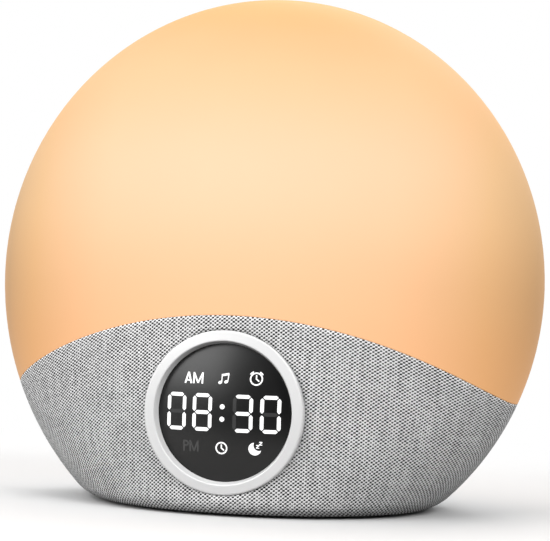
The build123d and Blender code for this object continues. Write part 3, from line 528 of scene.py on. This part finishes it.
def moulded(name, colour, roughness, grain=0.0005, depth=0.00001, coat=0.0):
    """Plastic of one colour with slight clouding, a fine grain and uneven gloss."""
    finish = Finish(name)
    place = finish.place()
    cloud = finish.noise(place, 0.02, 3)
    spark = finish.noise(place, grain, 2)
    pale = tuple(min(1.0, 1.03 * part + 0.004) for part in colour)
    deep = tuple(0.96 * part for part in colour)
    return finish.close(finish.principled(
        Base_Color=finish.mix(cloud, deep, pale),
        Roughness=roughness + 0.06 * (spark - 0.5),
        Coat_Weight=coat,
        Coat_Roughness=0.2,
        Normal=finish.relief(spark, depth),
    ))


dress(moulded("shell_white", (0.80, 0.80, 0.79), 0.5), "base_shell")
dress(moulded("underside_grey", (0.62, 0.62, 0.61), 0.55, 0.0007, 0.00002), "bottom_plate")
dress(moulded("tray_white", (0.86, 0.86, 0.84), 0.6), "light_tray")


# Feet and screws
# Soft rubber pads pressed into the plate, and zinc-plated self-tapping screws.

def rubber(name, colour, roughness=0.8):
    """Matt rubber or soft plastic with a dusty bloom."""
    finish = Finish(name)
    place = finish.place()
    bloom = finish.noise(place, 0.004, 4)
    speck = finish.noise(place, 0.0003, 2)
    dusty = tuple(min(1.0, part * 1.25 + 0.012) for part in colour)
    return finish.close(finish.principled(
        Base_Color=finish.mix(bloom, colour, dusty),
        Roughness=roughness + 0.1 * (speck - 0.5),
        Normal=finish.relief(speck, 0.00001),
    ))


def plated(name, colour, roughness):
    """Plated metal with faint turning marks and dull patches."""
    finish = Finish(name)
    place = finish.place()
    patch = finish.noise(place, 0.003, 4)
    marks = finish.node("TexNoise", sockets={
        "Vector": finish.node("Mapping", sockets={"Vector": place, "Scale": (1, 1, 6)}),
        "Scale": 2500.0,
    })
    worn = tuple(0.8 * part for part in colour)
    return finish.close(finish.principled(
        Base_Color=finish.mix(patch, worn, colour),
        Metallic=1.0,
        Roughness=roughness + 0.18 * (patch - 0.5) + 0.06 * (marks - 0.5),
        Normal=finish.relief(marks, 0.000006),
    ))


dress(rubber("foot_rubber", (0.035, 0.035, 0.036)), "foot_pads")
dress(plated("zinc", (0.66, 0.67, 0.69), 0.34), "base_screws", "display_screws", "tray_screws", "led_screws",
      "panel_screws", "key_board_screws", "speaker_screws", "main_board_screws")


# Display ring
# Satin white ring with a rounded face, pressed into the front of the shell over the window.

dress(moulded("ring_white", (0.80, 0.80, 0.80), 0.32, 0.0004, 0.000004, coat=0.15), "display_bezel")


# Display window
# Domed, smoked acrylic with a soft gloss. Nothing behind it shows but the light of the figures.

def window_finish():
    """Nearly black with a soft gloss, and faint wiping marks in that gloss."""
    finish = Finish("smoked_window")
    wipe = finish.noise(finish.place(), 0.006, 4)
    return finish.close(finish.principled(
        Base_Color=finish.mix(wipe, (0.003, 0.003, 0.003), (0.005, 0.005, 0.005)),
        Roughness=0.27 + 0.05 * wipe,
        Specular_IOR_Level=0.44,
    ))


dress(window_finish(), "display_lens")


# Lit figures and signs
# The light wells of the display as they show on the window: seven-stroke figures, a colon, the
# half-day words and four small signs. Each shape is a thin patch that follows the window's dome.

WINDOW_FRONT, WINDOW_RADIUS = -0.049805, 0.082
LIT_LIFT, UNLIT_LIFT = 0.00004, 0.00002             # how far the patches stand off the window


def on_window(flat, lift):
    """Stand points drawn on the display's plane, in millimetres, on the dome of the window."""
    x, z = flat[..., 0] / 1000, flat[..., 1] / 1000
    sag = WINDOW_RADIUS - np.sqrt(WINDOW_RADIUS ** 2 - x ** 2 - z ** 2)
    return np.stack([x, WINDOW_FRONT + sag - lift, DISPLAY_HEIGHT + z], axis=-1)


def stroke(points, width, tips=0.0, steps=8):
    """A band along a line of points, so wide; tips is the length over which each end narrows."""
    points = np.asarray(points, float)
    runs = np.hypot(*np.diff(points, axis=0).T)
    total = runs.sum()
    stops = np.linspace(0, total, steps * max(1, len(points) - 1) + 1)
    if tips > 0:
        stops = np.concatenate([[0], np.linspace(tips, total - tips, steps), [total]])
    sums = np.concatenate([[0], np.cumsum(runs)])
    middle = np.stack([np.interp(stops, sums, points[:, i]) for i in (0, 1)], axis=-1)
    along = np.gradient(middle, axis=0)
    along = along / np.maximum(np.hypot(along[:, 0], along[:, 1]), 1e-9)[:, None]
    across = np.stack([-along[:, 1], along[:, 0]], axis=-1)
    half = np.full(len(stops), width / 2)
    if tips > 0:
        blunt_end = 0.06 * width
        half[0] = half[-1] = blunt_end
    side = np.linspace(-1, 1, 5)
    return middle[:, None] + across[:, None] * (side[None, :, None] * half[:, None, None])


def arc(centre, radius, start, stop, steps=24):
    """Points on a circle from one bearing to another, in degrees."""
    turn_at = np.radians(np.linspace(start, stop, steps))
    return np.stack([centre[0] + radius * np.cos(turn_at), centre[1] + radius * np.sin(turn_at)], axis=-1)


def disc(centre, radius_x, radius_y=None, lean=0.0):
    """A filled round or oval, leaning by so many degrees."""
    radius_y = radius_y or radius_x
    turn_at, out = np.meshgrid(np.linspace(0, 2 * np.pi, 25), np.linspace(0.02, 1, 5), indexing="ij")
    x, y = out * radius_x * np.cos(turn_at), out * radius_y * np.sin(turn_at)
    c, s = math.cos(math.radians(lean)), math.sin(math.radians(lean))
    return np.stack([centre[0] + c * x - s * y, centre[1] + s * x + c * y], axis=-1)


def between(first, second):
    """A filled shape between two lines that have equally many points."""
    share = np.linspace(0, 1, 5)[None, :, None]
    return first[:, None] * (1 - share) + second[:, None] * share


def patches(name, shapes, material, lift):
    """One thin piece from many flat shapes, each stood on the window."""
    parts = []
    for number, shape in enumerate(shapes):
        part = skin(f"{name}_{number}", on_window(shape, lift))
        normals = np.zeros(3 * len(part.data.polygons))
        part.data.polygons.foreach_get("normal", normals)
        if normals.reshape(-1, 3)[:, 1].mean() > 0:
            part.data.flip_normals()
        parts.append(part)
    bpy.ops.object.select_all(action="DESELECT")
    for part in parts:
        part.select_set(True)
    bpy.context.view_layer.objects.active = parts[0]
    bpy.ops.object.join()
    made = parts[0]
    made.name = name
    made.data.materials.clear()
    made.data.materials.append(material)
    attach(made, "clock")


def figure_strokes(centre, lit):
    """The seven strokes of a figure, as (shape, whether it is lit), in the order of their letters."""
    half_across, half_up = 2.57, 5.19
    gap, width, tip = 0.29, 1.14, 0.55
    corners = {
        "a": ((-1, 1), (1, 1)), "b": ((1, 1), (1, 0)), "c": ((1, 0), (1, -1)), "d": ((-1, -1), (1, -1)),
        "e": ((-1, 0), (-1, -1)), "f": ((-1, 1), (-1, 0)), "g": ((-1, 0), (1, 0)),
    }
    made = []
    for letter, ends in corners.items():
        start, stop = (np.array([centre + x * half_across, y * half_up]) for x, y in ends)
        way = (stop - start) / np.hypot(*(stop - start))
        made.append((stroke([start + gap * way, stop - gap * way], width, tip), letter in lit))
    return made


COLON_RISE, COLON_RADIUS = 1.9, 0.78
figures = {-14.93: "abcdef", -6.44: "abcdefg", 6.44: "abcdg", 14.93: "abcdef"}     # place, lit strokes
lit_shapes, unlit_shapes = [], []
for centre, lit in figures.items():
    for shape, is_lit in figure_strokes(centre, lit):
        (lit_shapes if is_lit else unlit_shapes).append(shape)
lit_shapes += [disc((0, up), COLON_RADIUS) for up in (-COLON_RISE, COLON_RISE)]


def half_day_word(word):
    """AM or PM in plain upright letters of about one weight, 3.44 mm high, about its own centre."""
    foot, top = -1.72, 1.72
    if word == "AM":
        shapes = [stroke([(end, foot), (-1.82, top)], 0.58) for end in (-2.84, -0.80)]
        shapes.append(stroke([(-2.4, -0.75), (-1.2, -0.75)], 0.45))
        left, right = -0.02, 2.80
    else:
        bowl = arc((-1.55, 0.78), 0.68, 90, -90)
        bowl = np.concatenate([[(-2.3, bowl[0][1])], bowl, [(-2.3, bowl[-1][1])]])
        shapes = [stroke([(-2.3, foot), (-2.3, top)], 0.55), stroke(bowl, 0.5, steps=2)]
        left, right = -0.20, 2.30
    middle = (left + right) / 2
    shapes += [stroke([(side, foot), (side, top)], 0.55) for side in (left, right)]
    return shapes + [stroke([(side, top - 0.1), (middle, foot + 0.2)], 0.5) for side in (left, right)]


def clock_face(radius):
    """A small clock: a ring and two hands."""
    return [
        stroke(arc((0, 0), radius, 0, 360, 33), 0.44, steps=1),
        stroke([(0, 0.66 * radius), (0, -0.12)], 0.42),
        stroke([(-0.05, 0.05), (0.5 * radius, -0.40 * radius)], 0.42),
    ]


def alarm_clock():
    """The small clock with two bells above its ring."""
    bells = [stroke(arc((0, 0), 2.33, middle - 16, middle + 16, 7), 0.42, steps=1) for middle in (49, 129)]
    return clock_face(1.80) + bells


def beamed_notes():
    """Two quavers joined by a beam."""
    return [
        disc((-1.13, -1.16), 0.62, 0.48, 20),
        disc((0.76, -0.91), 0.62, 0.48, 20),
        stroke([(-0.64, -1.1), (-0.60, 1.2)], 0.30),
        stroke([(1.26, -0.85), (1.50, 1.6)], 0.30),
        stroke([(-0.72, 1.05), (1.62, 1.5)], 0.68),
    ]


def moon():
    """A crescent open to the upper right, with two small sleep letters in the opening."""
    shapes = [between(arc((0, 0), 1.95, 101, 351, 40), arc((1.25, 1.10), 1.65, 154, 295, 40))]
    for x, y in ((0.88, 0.74), (1.80, 1.72)):
        low, high, left, right = y - 0.42, y + 0.42, x - 0.48, x + 0.48
        shapes += [stroke([(left, level), (right, level)], 0.26) for level in (low, high)]
        shapes.append(stroke([(right, high), (left, low)], 0.26))
    return shapes


def at(centre, shapes):
    """Move shapes drawn about their own centre to a place on the display."""
    return [np.asarray(centre) + shape for shape in shapes]


def light_finish(name, colour, strength):
    """Light of a well as it leaves the window, slightly uneven as its lamp spreads it; unlit wells get
    painted light.
    """
    finish = Finish(name)
    uneven = finish.noise(finish.place(), 0.0012, 2)
    tone = finish.mix(uneven, tuple(0.93 * part for part in colour), colour)
    return finish.close(finish.principled(
        Base_Color=(0.02, 0.02, 0.02),
        Roughness=0.2,
        Emission_Color=tone,
        Emission_Strength=strength,
    ))


lit = light_finish("lit_white", (1.0, 1.0, 1.0), 1.35)
# Painted light: the unlit strokes and the unlit word glow a faint grey, though no lamp lights them.
unlit_painted_glow = light_finish("unlit_grey", (0.03, 0.03, 0.03), 1.0)
signs = at((-9.6, 10.4), half_day_word("AM")) + at((0.1, 10.45), beamed_notes())
signs += at((10.2, 10.7), alarm_clock()) + at((-0.05, -10.75), clock_face(1.68)) + at((10.35, -10.6), moon())
patches("lit_figures", lit_shapes, lit, LIT_LIFT)
patches("lit_signs", signs, lit, LIT_LIFT)
patches("unlit_strokes", unlit_shapes, unlit_painted_glow, UNLIT_LIFT)
patches("unlit_word", at((-10.0, -10.5), half_day_word("PM")), unlit_painted_glow, UNLIT_LIFT)


# Behind the window
# A diffusing film, and a black block with a light well for every stroke. The holder of the back-up
# cell is of the same black plastic.

dress(moulded("film_milk", (0.84, 0.84, 0.82), 0.5, 0.0003), "segment_film")
dress(moulded("well_black", (0.025, 0.025, 0.025), 0.65), "display_light_box", "cell_holder")


# Circuit boards
# Glass-fibre board under green or white solder mask, with faint tracks showing through. The parts on
# the boards are black and the sockets are natural nylon.

def board_finish(name, mask, track):
    """Solder mask over a maze of tracks, which show as thin lines of another tone."""
    finish = Finish(name)
    place = finish.place()
    steps = finish.node("TexBrick", {"offset": 0.37}, {
        "Vector": place, "Scale": 260.0, "Mortar Size": 0.03,
        "Color1": (0, 0, 0, 1), "Color2": (0, 0, 0, 1), "Mortar": (1, 1, 1, 1),
    })
    weave = finish.noise(place, 0.0009, 2)
    tone = finish.mix(weave, mask, tuple(1.2 * part for part in mask))
    return finish.close(finish.principled(
        Base_Color=finish.mix(0.6 * steps, tone, track),
        Roughness=0.32 + 0.1 * weave,
        Normal=finish.relief(steps, 0.00002),
    ))


dress(board_finish("green_board", (0.012, 0.085, 0.035), (0.05, 0.20, 0.09)),
      "display_board", "main_board", "left_key_board", "right_key_board")
dress(board_finish("white_lamp_board", (0.78, 0.79, 0.80), (0.66, 0.67, 0.68)), "led_board")
dress(moulded("package_black", (0.02, 0.02, 0.022), 0.45, 0.0002), "display_board_parts", "key_switches",
      "main_board_parts", "power_inlet")
dress(moulded("socket_nylon", (0.80, 0.78, 0.68), 0.5), "board_sockets")


# Lamps of the dome and of the display
# Small packages, all in the look of the yellow phosphor resin that fills them, lit warm.

def lamp_finish():
    """Pale resin with a warm light of its own."""
    finish = Finish("phosphor_resin")
    grain = finish.noise(finish.place(), 0.0006, 2)
    return finish.close(finish.principled(
        Base_Color=finish.mix(grain, (0.80, 0.62, 0.22), (0.90, 0.76, 0.38)),
        Roughness=0.25 + 0.1 * grain,
        Emission_Color=finish.mix(grain, (1.0, 0.72, 0.40), (1.0, 0.80, 0.50)),
        Emission_Strength=1.0,
    ))


dress(lamp_finish(), "led_chips", "display_leds")


# Rear panel and buttons
# The panel is moulded in the shell's white, set flush with the cloth; the caps are a shade greyer.

dress(moulded("panel_white", (0.80, 0.80, 0.79), 0.42, 0.0006, 0.000014), "rear_panel")
dress(moulded("button_white", (0.74, 0.74, 0.73), 0.36, 0.0004, 0.000006),
      "light_up_button", "light_down_button", "alarm_one_button", "alarm_two_button",
      "volume_up_button", "volume_down_button", "sound_button", "time_set_button")


# Speaker
# A small paper-cone driver behind fine black cloth, on a foam gasket.

def fine_cloth():
    """Fine acoustic cloth: tiny crossed threads over black."""
    finish = Finish("acoustic_cloth_black")
    x, _, z = finish.axes(finish.place())
    pitch = 0.0004
    threads = abs(finish.math("SINE", x * (math.pi / pitch)) * finish.math("SINE", z * (math.pi / pitch)))
    return finish.close(finish.principled(
        Base_Color=finish.mix(threads, (0.006, 0.006, 0.006), (0.045, 0.045, 0.047)),
        Roughness=0.9,
        Normal=finish.relief(threads, 0.00005),
    ))


dress(fine_cloth(), "grille_cloth")
dress(rubber("foam_black", (0.03, 0.03, 0.03), 0.9), "speaker_gasket")
dress(plated("pressed_steel", (0.55, 0.56, 0.58), 0.4), "speaker_frame")
dress(rubber("cone_paper", (0.028, 0.028, 0.03), 0.75), "speaker_cone")
dress(plated("ferrite", (0.10, 0.10, 0.11), 0.6), "speaker_magnet")


# Back-up cell and leads
# A bright steel coin cell, round leads in soft plastic and a grey ribbon for the display.

dress(plated("cell_bright", (0.78, 0.78, 0.80), 0.22), "coin_cell")
dress(rubber("lead_red", (0.42, 0.02, 0.015), 0.45), "lamp_lead")
dress(rubber("lead_black", (0.02, 0.02, 0.02), 0.45), "speaker_lead", "left_key_lead", "right_key_lead")
dress(rubber("ribbon_grey", (0.36, 0.37, 0.39), 0.5), "display_ribbon")
